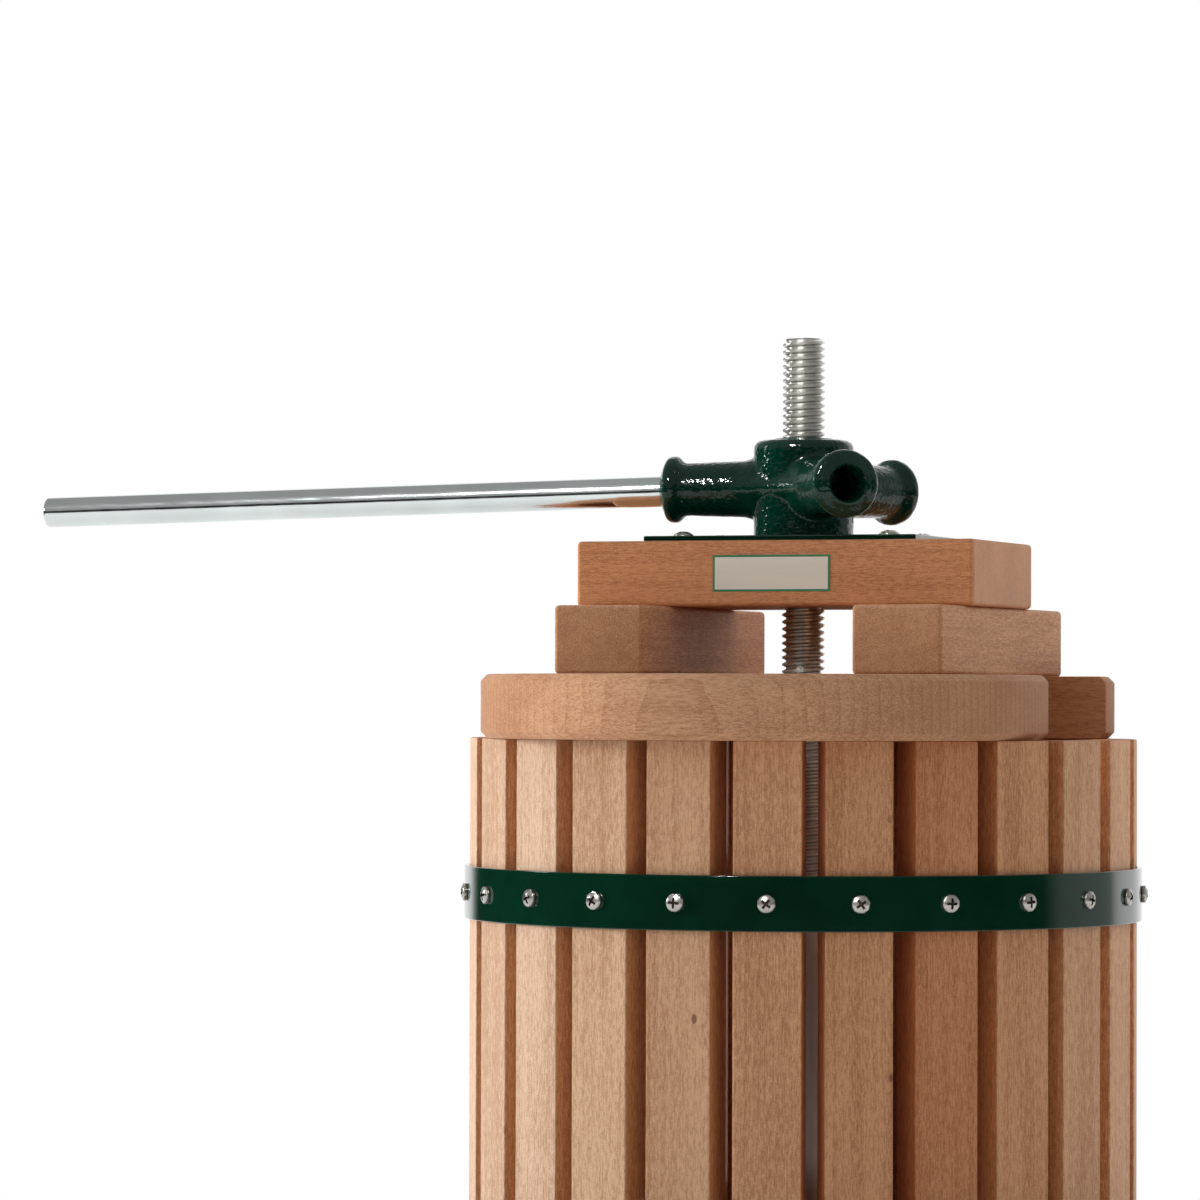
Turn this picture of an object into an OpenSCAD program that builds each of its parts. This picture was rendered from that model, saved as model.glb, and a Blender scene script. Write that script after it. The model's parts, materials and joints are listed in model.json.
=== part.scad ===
/* [Basket] */
// Number of slats in the basket wall
slat_count = 24; // [20:1:25]
// Width of a slat
slat_w = 27.5; // [20:0.5:30]
// Thickness of a slat
slat_t = 18; // [12:0.5:24]
// Length of a slat, which is the height of the basket
slat_h = 262; // [200:1:340]
// Distance from the basket's axis to the outer face of a slat
basket_r = 140; // [136:0.5:150]
// Chamfer along the edges of a slat
slat_ease = 1; // [0.4:0.1:2]
// Angle of the first slat, in degrees from +X
first_slat_angle = 11.7; // [0:0.1:15]

/* [Hoops] */
// Height of the hoop strip
hoop_h = 22.2; // [14:0.2:34]
// Thickness of the hoop strip
hoop_t = 2; // [1:0.1:4]
// Distance from the top of the slats to the upper hoop
hoop_inset = 53.6; // [40:0.2:80]
// Distance from the foot of the slats to the lower hoop
lower_hoop_inset = 40; // [24:0.2:60]
// Gap between the corners of the slats and the hoop
hoop_gap = 0.2; // [0.1:0.05:0.6]

/* [Hoop screws] */
// Diameter of a screw head
screw_head_d = 7.2; // [5:0.1:10]
// Height of a screw head
screw_head_h = 2.5; // [1.5:0.1:4]
// Diameter of a screw shank
screw_d = 3.6; // [2:0.1:4.4]
// Length of a screw under its head
screw_l = 15; // [8:0.5:18]

/* [Half discs] */
// Radius of the pressing disc
disc_r = 119.5; // [112:0.5:121]
// Thickness of the pressing disc
disc_t = 26.5; // [16:0.5:34]
// Chamfer round the pressing disc
disc_ease = 2.7; // [1:0.1:5]
// Distance from the spindle's axis to the straight edge of a half disc, laid open on the rim
disc_apart = 47; // [36:0.5:56]
// Radius of the spindle notch in the half discs
disc_notch_r = 12; // [10:0.5:18]

/* [Blocks] */
// Width of a block
block_w = 38.4; // [28:0.2:48]
// Length of a block
block_l = 176; // [150:1:200]
// Height of a block
block_h = 28.5; // [18:0.5:40]
// Distance from the spindle's axis to the middle of the left block
left_block_x = 63; // [54:0.5:68]
// Distance from the spindle's axis to the middle of the right block
right_block_x = 66.5; // [54:0.5:68]
// Angle that each block lies off square, the back ends apart
block_turn = 1.2; // [0:0.1:2]
// Distance that the left block lies back from the middle
left_block_back = 1; // [-8:0.5:16]
// Distance that the right block lies back from the middle
right_block_back = 8; // [-8:0.5:16]
// Chamfer along the edges of the blocks and the board
block_ease = 1.8; // [0.5:0.1:3]

/* [Board] */
// Length of the top board
board_l = 173; // [150:1:200]
// Width of the top board
board_w = 92; // [76:1:110]
// Distance that the board's middle lies right of the spindle's axis
board_right = 1; // [-3:0.5:3]
// Thickness of the top board
board_t = 27.5; // [20:0.5:36]
// Radius of the spindle hole in the board
board_hole_r = 11.5; // [10:0.5:14]

/* [Plate] */
// Length of the steel plate
plate_l = 119; // [108:1:140]
// Width of the steel plate
plate_w = 70.5; // [66:0.5:74]
// Thickness of the steel plate
plate_t = 2.4; // [1.5:0.1:4]
// Distance from the middle to a plate screw, along the plate
plate_screw_x = 45.2; // [38:0.2:50]
// Distance from the middle to a plate screw, across the plate
plate_screw_y = 24.6; // [22:0.2:28]
// Diameter of a plate screw's head
plate_screw_head_d = 8.6; // [6:0.2:10]
// Height of a plate screw's head
plate_screw_head_h = 2.2; // [1.2:0.1:3]
// Diameter of a plate screw's shank
plate_screw_d = 4.2; // [3:0.1:5]
// Length of a plate screw under its head
plate_screw_l = 16; // [10:0.5:20]
// Length of the label on the board's front
label_l = 51; // [30:0.5:60]
// Height of the label
label_h = 15.2; // [8:0.2:18]
// Thickness of the label
label_t = 0.3; // [0.1:0.1:0.5]
// Distance that the label lies left of the middle
label_left = 0.5; // [0:0.5:10]

/* [Head] */
// Diameter of the hub
hub_d = 42.3; // [38:0.1:46]
// Height of the hub over the plate
hub_h = 41; // [35:0.2:48]
// Width of the bevel round the hub's top
hub_bevel = 3.6; // [1:0.1:5]
// Radius of the raised ring round the spindle
hub_ring_r = 12.2; // [11:0.1:14]
// Height of the raised ring
hub_ring_h = 0.9; // [0.4:0.1:2]
// Radius of the foot flange that the plate traps
foot_r = 27; // [24:0.5:30]
// Thickness of the foot flange
foot_t = 4.2; // [3:0.1:6]
// Height of the sockets' axis over the plate
socket_z = 20.6; // [17:0.1:24]
// Distance from the spindle's axis to a socket's mouth
socket_l = 61; // [54:0.5:70]
// Radius of a socket's tube beside the hub
tube_root_r = 12; // [10.5:0.1:13]
// Radius of a socket's tube beside its lip
tube_end_r = 11.2; // [10.2:0.1:12]
// Radius of the lip round a socket's mouth
lip_r = 14.2; // [13:0.1:16]
// Length of the lip along the socket
lip_l = 9.5; // [7:0.1:12]
// Radius of a socket's bore
socket_bore_r = 7.3; // [7.2:0.05:8]
// Distance from the spindle's axis to the bottom of a socket
socket_floor = 22; // [18:0.5:30]
// Angle of the socket that holds the bar, in degrees from +X
bar_angle = 185; // [150:1:210]
// Height of the web between two sockets
web_h = 12; // [6:0.5:18]
// Radius of the hollow side of the web, seen from above
web_hollow_r = 60; // [46:1:64]

/* [Handle bar] */
// Diameter of the bar
bar_d = 13; // [10:0.1:13.4]
// Distance from the spindle's axis to the bar's outer end
bar_reach = 340; // [250:1:420]
// Gap between the bar's inner end and the bottom of its socket
bar_end_gap = 2; // [1:0.5:6]
// Angle by which the bar hangs down in its socket, in degrees
bar_droop = 1.5; // [0:0.1:1.6]
// Chamfer on the bar's ends
bar_ease = 0.8; // [0.2:0.1:2]

/* [Spindle] */
// Diameter of the spindle over its thread
spindle_d = 18; // [14:0.1:20]
// Height of the spindle's tip over the basket's rim
spindle_over = 168.9; // [160:0.5:240]
// Chamfer on the spindle's ends
spindle_ease = 1.4; // [0.5:0.1:2.5]
// Diameter of the collar that stands on the tray
collar_d = 42; // [32:1:50]
// Height of the collar
collar_h = 12; // [6:0.5:20]
// Thickness of the ring seal under the collar
seal_t = 1.5; // [1:0.1:3]
// Diameter of the washer under the base plate
washer_d = 44; // [36:1:52]
// Thickness of the washer under the base plate
washer_t = 3; // [2:0.5:5]
// Width across the flats of the spindle nut
spindle_nut_af = 30; // [26:1:36]
// Height of the spindle nut
spindle_nut_h = 16; // [12:1:20]
// Length of the spindle's end below its nut
spindle_end = 4; // [1:0.5:10]

/* [Tray] */
// Radius of the tray's floor
tray_r = 170; // [164:1:180]
// Radius of the tray at its rim
tray_rim_r = 177; // [172:1:190]
// Height of the tray's wall
tray_h = 36; // [32:1:60]
// Thickness of the tray's sheet
tray_t = 2; // [1:0.1:3]
// Radius of the bend between floor and wall
tray_bend_r = 8; // [4:0.5:12]
// Radius of the rolled bead at the rim
bead_r = 3; // [2:0.1:4]
// Inner radius of the spout's trough
spout_r = 16; // [10:0.5:18]
// Height of the spout's straight sides
spout_side = 7; // [2:0.5:8]
// Distance from the spindle's axis to the spout's lip
spout_reach = 240; // [210:1:280]
// Fall of the spout, in degrees
spout_fall = 10; // [4:1:15]

/* [Stand] */
// Height of the tray's underside over the floor
tray_under = 151; // [120:1:240]
// Width of a leg
leg_w = 40; // [30:1:44]
// Thickness of a leg
leg_t = 6; // [4:0.5:8]
// Distance from the spindle's axis to a leg's inner end
leg_in = 26; // [25:0.5:30]
// Distance from the spindle's axis to the bend under the tray
leg_knee = 140; // [130:1:150]
// Distance from the spindle's axis to the bend over the foot
leg_ankle = 156; // [150:1:162]
// Radius of the leg's bends, on the middle of the strip
leg_bend_r = 14; // [8:1:20]
// Distance from the spindle's axis to the foot's bolt hole
foot_bolt_at = 184; // [178:1:200]
// Radius of the foot's bolt hole
foot_bolt_r = 4.5; // [3:0.1:7]
// Diameter of the base plate
base_d = 130; // [116:1:160]
// Thickness of the base plate
base_t = 6; // [4:0.5:10]
// Distance from the spindle's axis to the inner leg bolts
bolt_in = 48; // [42:1:54]
// Distance from the spindle's axis to the outer leg bolts
bolt_out = 105; // [80:1:110]
// Diameter of a leg bolt
bolt_d = 8; // [6:0.5:10]
// Diameter of a leg bolt's head
bolt_head_d = 17; // [13:0.5:20]
// Height of a leg bolt's head
bolt_head_h = 4.2; // [3:0.1:6]
// Width across the flats of a leg nut
leg_nut_af = 13; // [12:0.5:17]
// Height of a leg nut
leg_nut_h = 6.5; // [5:0.5:9]

/* [Hidden] */
// Clearances between pieces
rest_gap = 0.01;
thread_clear = 0.1;
screw_clear = 0.1;
bolt_clear = 0.3;
hub_clear = 0.35;
foot_clear = 0.3;
foot_side_clear = 0.5;
bar_rest_clear = 0.06;
tray_hole_clear = 1;

// Small sizes of the head's casting
socket_mouth_ease = 0.9;
lip_round = 2.4;
lip_face_rise = 1.8;
lip_neck = 3;
socket_root_grow = 1.6;
socket_root_l = 6;
web_sink = 1.2;
web_bury = 6;

// Overrun of every cut
cut_over = 1;

// Smoothness of round faces and of bends
$fn = 96;
small_fn = 48;
hex_fn = 6;
bend_steps = 6;
arc_steps = 6;

// Levels, from the floor upwards
spindle_r = spindle_d / 2;
tray_floor_z = tray_under + tray_t;
arm_under = tray_under - leg_t;
base_under = arm_under - base_t;
nut_top = base_under - washer_t;
nut_under = nut_top - spindle_nut_h;
spindle_low = nut_under - spindle_end;
rim_z = tray_floor_z + slat_h;
block_z = rim_z + disc_t;
board_z = block_z + block_h;
plate_z = board_z + board_t;
head_z = plate_z + plate_t;
foot_z = plate_z - foot_t - foot_clear;
spindle_top = rim_z + spindle_over;

// Radii that follow the basket and the sockets
hub_r = hub_d / 2;
slat_in_r = basket_r - slat_t;
hoop_in_r = norm([basket_r, slat_w / 2]) + hoop_gap;
hoop_out_r = hoop_in_r + hoop_t;
hoop_levels = [slat_h - hoop_inset - hoop_h / 2, lower_hoop_inset + hoop_h / 2];
slat_step = 360 / slat_count;
socket_count = 3;
socket_step = 360 / socket_count;
leg_angles = [210, 330, 90];
leg_count = len(leg_angles);
spout_angle = 270;

// The bar lies on the lower edge of its socket's mouth
bar_in = socket_floor + bar_end_gap;
bar_l = bar_reach - bar_in;
bar_drop = socket_bore_r - bar_d / 2 - bar_rest_clear;

// Names of the nodes
function two_digits(n) = n < 10 ? str("0", n) : str(n);
function slat_name(i) = str("slat_", two_digits(i + 1));
LEG_NODES = ["leg_left", "leg_right", "leg_rear"];
OTHER_NODES = [
    "upper_hoop", "lower_hoop", "upper_hoop_screws", "lower_hoop_screws",
    "half_disc_front", "half_disc_rear", "left_block", "right_block",
    "top_board", "pressure_plate", "plate_screws", "label",
    "press_head", "handle_bar",
    "spindle", "spindle_seal", "spindle_washer", "spindle_nut",
    "tray", "spout", "base_plate", "leg_bolts", "leg_nuts"
];

// A thick line with round bends, for bent strips and pressed sheet
function unit(v) = v / norm(v);
function left_of(v) = [-v[1], v[0]];
function turned(v, a) = [v[0] * cos(a) - v[1] * sin(a), v[0] * sin(a) + v[1] * cos(a)];
function bend(a, b, c, r) =
    let (
        u = unit(b - a),
        w = unit(c - b),
        side = sign(u[0] * w[1] - u[1] * w[0]),
        angle = acos(u * w),
        middle = b - u * r * tan(angle / 2) + left_of(u) * r * side
    )
    [
        for (k = [0:bend_steps])
            let (n = turned(left_of(u), side * angle * k / bend_steps))
                [middle - n * r * side, n]
    ];
function strip_line(path, r) = concat(
    [[path[0], left_of(unit(path[1] - path[0]))]],
    [for (i = [1:len(path) - 2]) each bend(path[i - 1], path[i], path[i + 1], r)],
    [[path[len(path) - 1], left_of(unit(path[len(path) - 1] - path[len(path) - 2]))]]
);
function strip_outline(path, r, t) =
    let (line = strip_line(path, r))
    concat(
        [for (s = line) s[0] + s[1] * t / 2],
        [for (i = [len(line) - 1:-1:0]) line[i][0] - line[i][1] * t / 2]
    );
function arc(middle, r, from, to) =
    [for (k = [0:arc_steps]) let (a = from + (to - from) * k / arc_steps) middle + r * [cos(a), sin(a)]];

// A rectangle with chamfered corners, centred
module eased_rect(w, h, e) {
    polygon([
        [-w / 2 + e, -h / 2], [w / 2 - e, -h / 2], [w / 2, -h / 2 + e], [w / 2, h / 2 - e],
        [w / 2 - e, h / 2], [-w / 2 + e, h / 2], [-w / 2, h / 2 - e], [-w / 2, -h / 2 + e]
    ]);
}

// A wooden bar with all its edges chamfered, standing on z = 0
module eased_bar(size, e) {
    translate([0, 0, size[2] / 2])
        intersection() {
            linear_extrude(size[2], center = true) eased_rect(size[0], size[1], e);
            rotate([90, 0, 0]) linear_extrude(size[1], center = true) eased_rect(size[0], size[2], e);
            rotate([90, 0, 90]) linear_extrude(size[0], center = true) eased_rect(size[1], size[2], e);
        }
}

// A low dome, standing on z = 0
module dome(r, h) {
    ball_r = (r * r + h * h) / (2 * h);
    intersection() {
        translate([0, 0, h - ball_r]) sphere(ball_r, $fn = small_fn);
        cylinder(h, r, r, $fn = small_fn);
    }
}

// A screw with a domed head, its head's underside on z = 0 and its shank below
module dome_screw(head_d, head_h, d, l) {
    dome(head_d / 2, head_h);
    translate([0, 0, -l]) cylinder(l + head_h / 2, d = d, $fn = small_fn);
}

// A round bar with chamfered ends, standing on z = 0
module eased_rod(r, l, e) {
    rotate_extrude()
        polygon([[0, 0], [r - e, 0], [r, e], [r, l - e], [r - e, l], [0, l]]);
}

// A hexagon nut with its hole, standing on z = 0
module hex_nut(af, h, hole_r) {
    difference() {
        cylinder(h, r = af / 2 / cos(180 / hex_fn), $fn = hex_fn);
        translate([0, 0, -cut_over]) cylinder(h + 2 * cut_over, r = hole_r, $fn = small_fn);
    }
}

// Places its children at each slat, with +X outwards
module at_slat(i) {
    rotate([0, 0, first_slat_angle + i * slat_step]) translate([0, 0, tray_floor_z]) children();
}

module slat(i) {
    color("burlywood")
        at_slat(i)
            difference() {
                translate([basket_r - slat_t / 2, 0, rest_gap])
                    eased_bar([slat_t, slat_w, slat_h - 2 * rest_gap], slat_ease);
                for (z = hoop_levels)
                    translate([hoop_out_r - screw_l - cut_over, 0, z])
                        rotate([0, 90, 0])
                            cylinder(screw_l + 2 * cut_over, d = screw_d + 2 * screw_clear, $fn = small_fn);
            }
}

module hoop(level) {
    color("darkgreen")
        difference() {
            translate([0, 0, tray_floor_z + level - hoop_h / 2])
                difference() {
                    cylinder(hoop_h, r = hoop_out_r);
                    translate([0, 0, -cut_over]) cylinder(hoop_h + 2 * cut_over, r = hoop_in_r);
                }
            for (i = [0:slat_count - 1])
                at_slat(i)
                    translate([hoop_in_r - cut_over, 0, level])
                        rotate([0, 90, 0])
                            cylinder(hoop_t + 2 * cut_over, d = screw_d + 2 * screw_clear, $fn = small_fn);
        }
}
module upper_hoop() { hoop(hoop_levels[0]); }
module lower_hoop() { hoop(hoop_levels[1]); }

module hoop_screws(level) {
    color("silver")
        for (i = [0:slat_count - 1])
            at_slat(i)
                translate([hoop_out_r, 0, level])
                    rotate([0, 90, 0]) dome_screw(screw_head_d, screw_head_h, screw_d, screw_l);
}
module upper_hoop_screws() { hoop_screws(hoop_levels[0]); }
module lower_hoop_screws() { hoop_screws(hoop_levels[1]); }

// The half of the pressing disc in front of its straight edge
module half_disc() {
    difference() {
        rotate_extrude()
            polygon([
                [0, 0], [disc_r - disc_ease, 0], [disc_r, disc_ease],
                [disc_r, disc_t - disc_ease], [disc_r - disc_ease, disc_t], [0, disc_t]
            ]);
        translate([-disc_r - cut_over, 0, -cut_over])
            cube([2 * disc_r + 2 * cut_over, disc_r + cut_over, disc_t + 2 * cut_over]);
        translate([0, 0, -cut_over]) cylinder(disc_t + 2 * cut_over, r = disc_notch_r);
    }
}
module half_disc_front() {
    color("burlywood") translate([0, -disc_apart, rim_z]) half_disc();
}
module half_disc_rear() {
    color("burlywood") translate([0, disc_apart, rim_z]) rotate([0, 0, 180]) half_disc();
}

// One of the two blocks under the board, turned about its middle
module block(x, y, turn) {
    color("burlywood")
        translate([x, y, block_z + rest_gap])
            rotate([0, 0, turn])
                eased_bar([block_w, block_l, block_h - 2 * rest_gap], block_ease);
}
module left_block() { block(-left_block_x, left_block_back, block_turn); }
module right_block() { block(right_block_x, right_block_back, -block_turn); }

// Places its children at each plate screw
module at_plate_screws() {
    for (x = [-plate_screw_x, plate_screw_x])
        for (y = [-plate_screw_y, plate_screw_y])
            translate([x, y, head_z]) children();
}

module top_board() {
    color("burlywood")
        difference() {
            translate([board_right, 0, board_z]) eased_bar([board_l, board_w, board_t], block_ease);
            translate([0, 0, board_z - cut_over]) cylinder(board_t + 2 * cut_over, r = board_hole_r);
            translate([0, 0, foot_z])
                cylinder(foot_t + foot_clear + cut_over, r = foot_r + foot_side_clear);
            at_plate_screws()
                translate([0, 0, -plate_screw_l - cut_over])
                    cylinder(plate_screw_l + 2 * cut_over, d = plate_screw_d + 2 * screw_clear, $fn = small_fn);
        }
}

module pressure_plate() {
    color("darkgreen")
        difference() {
            translate([-plate_l / 2, -plate_w / 2, plate_z]) cube([plate_l, plate_w, plate_t]);
            translate([0, 0, plate_z - cut_over])
                cylinder(plate_t + 2 * cut_over, r = hub_r + hub_clear);
            at_plate_screws()
                translate([0, 0, -plate_t - cut_over])
                    cylinder(plate_t + 2 * cut_over, d = plate_screw_d + 2 * screw_clear, $fn = small_fn);
        }
}

module plate_screws() {
    color("silver")
        at_plate_screws() dome_screw(plate_screw_head_d, plate_screw_head_h, plate_screw_d, plate_screw_l);
}

module label() {
    color("ivory")
        translate([board_right - label_left, -board_w / 2, board_z + board_t / 2])
            translate([-label_l / 2, -label_t, -label_h / 2]) cube([label_l, label_t, label_h]);
}

// Places its children at a socket, with +Z outwards along the socket's axis
module at_socket(i) {
    rotate([0, 0, bar_angle + i * socket_step])
        translate([0, 0, head_z + socket_z]) rotate([0, 90, 0]) children();
}

// The outside of one socket, from the spindle's axis to its mouth
module socket_body() {
    lip_mid = [lip_r - lip_round, socket_l - lip_face_rise - lip_round];
    rotate_extrude()
        polygon(concat(
            [[0, 0], [tube_root_r + socket_root_grow, 0]],
            [[tube_root_r + socket_root_grow, hub_r - socket_root_grow]],
            [[tube_root_r, hub_r + socket_root_l - socket_root_grow], [tube_end_r, socket_l - lip_l]],
            [[lip_r, socket_l - lip_l + lip_neck]],
            arc(lip_mid, lip_round, 0, 75),
            [[socket_bore_r + socket_mouth_ease, socket_l], [0, socket_l]]
        ));
}

// The bore of one socket, with its eased mouth
module socket_bore() {
    translate([0, 0, socket_floor]) cylinder(socket_l - socket_floor + cut_over, r = socket_bore_r);
    translate([0, 0, socket_l - socket_mouth_ease])
        cylinder(2 * socket_mouth_ease, socket_bore_r, socket_bore_r + 2 * socket_mouth_ease);
}

// The web in the corner between two sockets, its hollow side running along both of them
module socket_web() {
    hollow_mid = (tube_root_r + web_hollow_r) / sin(socket_step / 2);
    nose_r = web_h / 2;
    nose_mid = web_hollow_r + web_sink + nose_r;
    sweep = 180 - socket_step;
    translate([hollow_mid, 0, 0])
        rotate([0, 0, 180 - sweep / 2])
            rotate_extrude(angle = sweep)
                polygon(concat(
                    arc([nose_mid, 0], nose_r, 90, 180),
                    arc([nose_mid, 0], nose_r, 180, 270),
                    [[nose_mid + web_bury, -nose_r], [nose_mid + web_bury, nose_r]]
                ));
}

module press_head() {
    hub_top = head_z + hub_h;
    bevel_mid = [hub_r - hub_bevel, hub_top - hub_bevel];
    color("darkgreen")
        difference() {
            union() {
                rotate_extrude()
                    polygon(concat(
                        [[0, foot_z], [foot_r, foot_z], [foot_r, foot_z + foot_t], [hub_r, foot_z + foot_t]],
                        arc(bevel_mid, hub_bevel, 0, 90),
                        [[hub_ring_r + hub_ring_h, hub_top], [hub_ring_r, hub_top + hub_ring_h]],
                        [[0, hub_top + hub_ring_h]]
                    ));
                for (i = [0:socket_count - 1]) at_socket(i) socket_body();
                for (i = [0:socket_count - 1])
                    rotate([0, 0, bar_angle + (i + 0.5) * socket_step])
                        translate([0, 0, head_z + socket_z]) socket_web();
            }
            translate([0, 0, foot_z - cut_over])
                cylinder(hub_top + hub_ring_h - foot_z + 2 * cut_over, r = spindle_r + thread_clear);
            for (i = [0:socket_count - 1]) at_socket(i) socket_bore();
        }
}

module handle_bar() {
    color("silver")
        rotate([0, 0, bar_angle])
            translate([socket_l, 0, head_z + socket_z - bar_drop])
                rotate([0, 90 + bar_droop, 0])
                    translate([0, 0, bar_in - socket_l]) eased_rod(bar_d / 2, bar_l, bar_ease);
}

module spindle() {
    collar_z = tray_floor_z + seal_t;
    color("silver") {
        translate([0, 0, spindle_low]) eased_rod(spindle_r, spindle_top - spindle_low, spindle_ease);
        translate([0, 0, collar_z]) eased_rod(collar_d / 2, collar_h, spindle_ease);
    }
}

module spindle_seal() {
    color("dimgray")
        translate([0, 0, tray_floor_z])
            difference() {
                cylinder(seal_t, d = collar_d);
                translate([0, 0, -cut_over]) cylinder(seal_t + 2 * cut_over, r = spindle_r + bolt_clear);
            }
}

module spindle_washer() {
    color("silver")
        translate([0, 0, nut_top])
            difference() {
                cylinder(washer_t, d = washer_d);
                translate([0, 0, -cut_over]) cylinder(washer_t + 2 * cut_over, r = spindle_r + bolt_clear);
            }
}

module spindle_nut() {
    color("silver")
        translate([0, 0, nut_under]) hex_nut(spindle_nut_af, spindle_nut_h, spindle_r + thread_clear);
}

// Places its children at each leg, with +X outwards, and at the bolts of each leg
module at_legs() {
    for (a = leg_angles) rotate([0, 0, a]) children();
}
module at_leg_bolts() {
    at_legs() for (r = [bolt_in, bolt_out]) translate([r, 0, 0]) children();
}

// The trough of the spout, from one distance from the spindle's axis to another, as a solid
module trough(r, side, from, to) {
    rotate([0, 0, spout_angle])
        translate([tray_r, 0, tray_floor_z])
            rotate([0, spout_fall, 0])
                translate([from - tray_r, 0, spout_r])
                    rotate([90, 0, 90])
                        linear_extrude(to - from) {
                            intersection() {
                                circle(r);
                                translate([-r, -r]) square([2 * r, r]);
                            }
                            translate([-r, 0]) square([2 * r, side]);
                        }
}

// The space that the tray's outer face encloses
module tray_outside() {
    rotate_extrude()
        polygon(concat(
            [[0, tray_floor_z]],
            [for (s = strip_line(tray_path(), tray_bend_r)) s[0] - s[1] * tray_t / 2],
            [[0, tray_under + tray_h]]
        ));
}

function tray_path() =
    let (z = tray_under + tray_t / 2)
    [[spindle_r + tray_hole_clear, z], [tray_r + tray_bend_r / 2, z], [tray_rim_r, tray_under + tray_h]];

module tray() {
    color("darkgreen")
        difference() {
            union() {
                rotate_extrude() polygon(strip_outline(tray_path(), tray_bend_r, tray_t));
                rotate_extrude()
                    translate([tray_rim_r, tray_under + tray_h]) circle(bead_r, $fn = small_fn);
            }
            at_leg_bolts()
                translate([0, 0, tray_under - cut_over])
                    cylinder(tray_t + 2 * cut_over, d = bolt_d + 2 * bolt_clear, $fn = small_fn);
            trough(spout_r, spout_side, tray_r - tray_bend_r, tray_rim_r + tray_bend_r);
        }
}

module spout() {
    color("darkgreen")
        difference() {
            trough(spout_r + tray_t, spout_side, tray_r - tray_bend_r, spout_reach);
            trough(spout_r, spout_side + cut_over, tray_r - tray_bend_r - cut_over, spout_reach + cut_over);
            tray_outside();
        }
}

module base_plate() {
    color("darkgreen")
        difference() {
            translate([0, 0, base_under]) cylinder(base_t, d = base_d);
            translate([0, 0, base_under - cut_over]) cylinder(base_t + 2 * cut_over, r = spindle_r + bolt_clear);
            at_legs()
                translate([bolt_in, 0, base_under - cut_over])
                    cylinder(base_t + 2 * cut_over, d = bolt_d + 2 * bolt_clear, $fn = small_fn);
        }
}

// One leg, a bent strip with a round foot, along +X
module leg() {
    path = [
        [leg_in, arm_under + leg_t / 2], [leg_knee, arm_under + leg_t / 2],
        [leg_ankle, leg_t / 2], [foot_bolt_at + leg_w / 2, leg_t / 2]
    ];
    difference() {
        intersection() {
            rotate([90, 0, 0])
                linear_extrude(leg_w, center = true) polygon(strip_outline(path, leg_bend_r, leg_t));
            linear_extrude(tray_under + cut_over) {
                translate([0, -leg_w / 2]) square([foot_bolt_at, leg_w]);
                translate([foot_bolt_at, 0]) circle(leg_w / 2);
            }
        }
        translate([foot_bolt_at, 0, -cut_over])
            cylinder(leg_t + 2 * cut_over, r = foot_bolt_r, $fn = small_fn);
        for (r = [bolt_in, bolt_out])
            translate([r, 0, arm_under - cut_over])
                cylinder(leg_t + 2 * cut_over, d = bolt_d + 2 * bolt_clear, $fn = small_fn);
    }
}

module leg_bolts() {
    bolt_ends = [base_under, arm_under];
    bolt_places = [bolt_in, bolt_out];
    color("silver")
        at_legs()
            for (k = [0:len(bolt_places) - 1])
                translate([bolt_places[k], 0, tray_floor_z])
                    dome_screw(
                        bolt_head_d, bolt_head_h, bolt_d,
                        tray_floor_z - bolt_ends[k] + leg_nut_h + bolt_d / 4
                    );
}

module leg_nuts() {
    color("silver")
        at_legs() {
            translate([bolt_in, 0, base_under - leg_nut_h])
                hex_nut(leg_nut_af, leg_nut_h, bolt_d / 2 + thread_clear);
            translate([bolt_out, 0, arm_under - leg_nut_h])
                hex_nut(leg_nut_af, leg_nut_h, bolt_d / 2 + thread_clear);
        }
}

for (i = [0:slat_count - 1]) {
    slat(i);
}
for (k = [0:leg_count - 1]) {
    color("darkgreen") rotate([0, 0, leg_angles[k]]) leg();
}
upper_hoop();
lower_hoop();
upper_hoop_screws();
lower_hoop_screws();
half_disc_front();
half_disc_rear();
left_block();
right_block();
top_board();
pressure_plate();
plate_screws();
label();
press_head();
handle_bar();
spindle();
spindle_seal();
spindle_washer();
spindle_nut();
tray();
spout();
base_plate();
leg_bolts();
leg_nuts();
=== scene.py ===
import json
import random
from contextlib import contextmanager
from math import atan, cos, pi, radians, sin

import bpy
from mathutils import Matrix, Vector

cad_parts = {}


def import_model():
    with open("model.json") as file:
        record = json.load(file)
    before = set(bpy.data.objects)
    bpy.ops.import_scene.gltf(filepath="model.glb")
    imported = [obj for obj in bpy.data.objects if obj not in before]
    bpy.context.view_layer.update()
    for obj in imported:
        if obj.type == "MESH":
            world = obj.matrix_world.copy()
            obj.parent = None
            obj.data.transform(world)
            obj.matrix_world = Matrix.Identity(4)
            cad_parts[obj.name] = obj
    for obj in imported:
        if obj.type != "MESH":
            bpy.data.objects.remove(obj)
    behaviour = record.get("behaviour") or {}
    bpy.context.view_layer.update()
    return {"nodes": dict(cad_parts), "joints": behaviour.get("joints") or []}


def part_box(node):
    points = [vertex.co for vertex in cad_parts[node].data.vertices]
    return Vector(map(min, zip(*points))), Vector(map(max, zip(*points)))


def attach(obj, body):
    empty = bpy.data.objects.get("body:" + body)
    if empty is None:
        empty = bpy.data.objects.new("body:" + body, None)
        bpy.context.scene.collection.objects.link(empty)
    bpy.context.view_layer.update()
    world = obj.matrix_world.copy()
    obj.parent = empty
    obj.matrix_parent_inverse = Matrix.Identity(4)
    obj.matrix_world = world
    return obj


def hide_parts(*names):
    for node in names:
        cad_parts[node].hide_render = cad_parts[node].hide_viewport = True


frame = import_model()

# Sizes that the frame doesn't give, in metres and radians
SLAT_COUNT = 24
SLAT_W = 0.0275
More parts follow.
